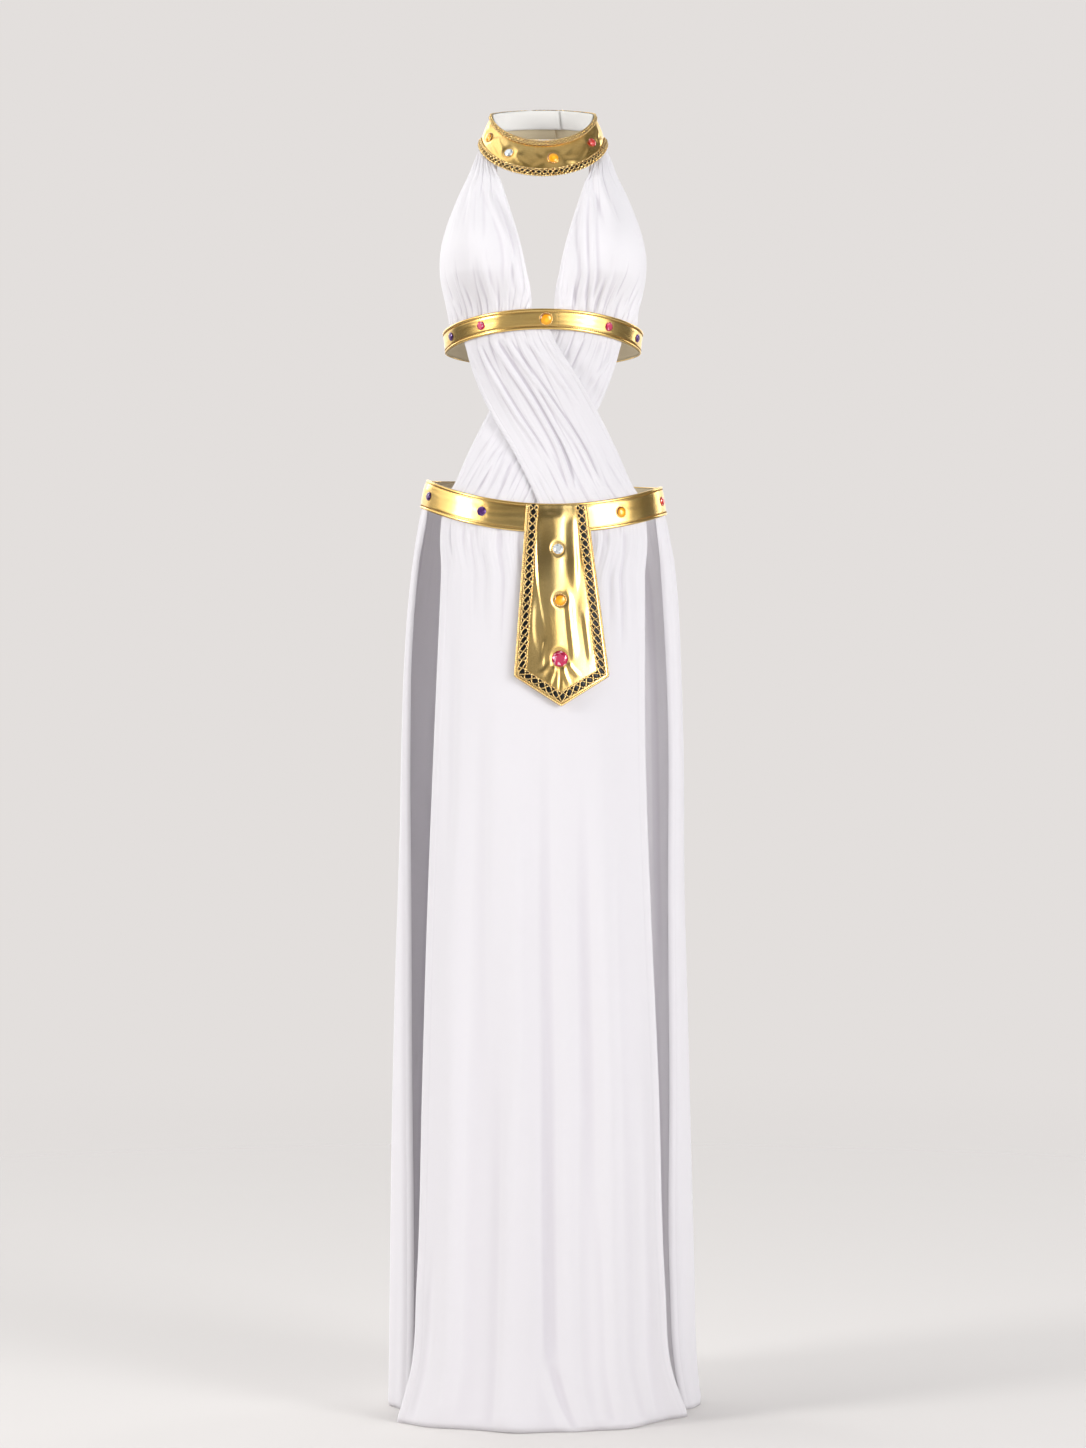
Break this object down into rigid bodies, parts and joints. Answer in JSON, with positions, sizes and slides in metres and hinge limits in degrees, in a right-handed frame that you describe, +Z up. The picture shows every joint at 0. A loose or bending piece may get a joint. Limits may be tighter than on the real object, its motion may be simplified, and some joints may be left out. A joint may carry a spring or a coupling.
{
  "type": "egyptian queen costume",
  "caption": "Floor-length white halter dress with crossed midriff wraps and slit skirt, and a gold foil collar, bust band, hip belt and front tab set with stones.",
  "frame": {"origin": "middle of the neck opening, inside the collar", "axes": "+Z up along the wearer, +Y towards the wearer's back, +X towards the wearer's left, which is the picture's right"},
  "size_m": [0.367, 0.3104, 1.5294],
  "materials": {
    "jersey": "soft white knit jersey with a faint sheen",
    "gold_foil": "metallic gold foil cloth, creased and shiny",
    "braid": "gold cord braid over black",
    "lining": "plain matt white lining",
    "amber": "clear amber acrylic, faceted",
    "clear": "colourless acrylic, faceted",
    "pink": "pink acrylic, faceted",
    "purple": "purple acrylic, faceted",
    "red": "orange-red acrylic, faceted"
  },
  "bodies": {
    "root": {"collar": "gold_foil", "collar_braid_top": "braid", "collar_braid_bottom": "braid", "collar_lining": "lining", "collar_stone_1": "amber", "collar_stone_2": "clear", "collar_stone_3": "amber", "collar_stone_4": "red", "halter_left": "jersey", "halter_right": "jersey", "bust_band": "gold_foil", "bust_band_stone_1": "purple", "bust_band_stone_2": "pink", "bust_band_stone_3": "amber", "bust_band_stone_4": "pink", "bust_band_stone_5": "purple", "wrap_over": "jersey", "wrap_under": "jersey", "belt": "gold_foil", "belt_stone_1": "purple", "belt_stone_2": "purple", "belt_stone_3": "amber", "belt_stone_4": "red", "tab": "gold_foil", "tab_braid": "braid", "tab_stone_1": "clear", "tab_stone_2": "amber", "tab_stone_3": "pink", "skirt_front": "jersey", "skirt_back": "jersey"}
  },
  "joints": []
}
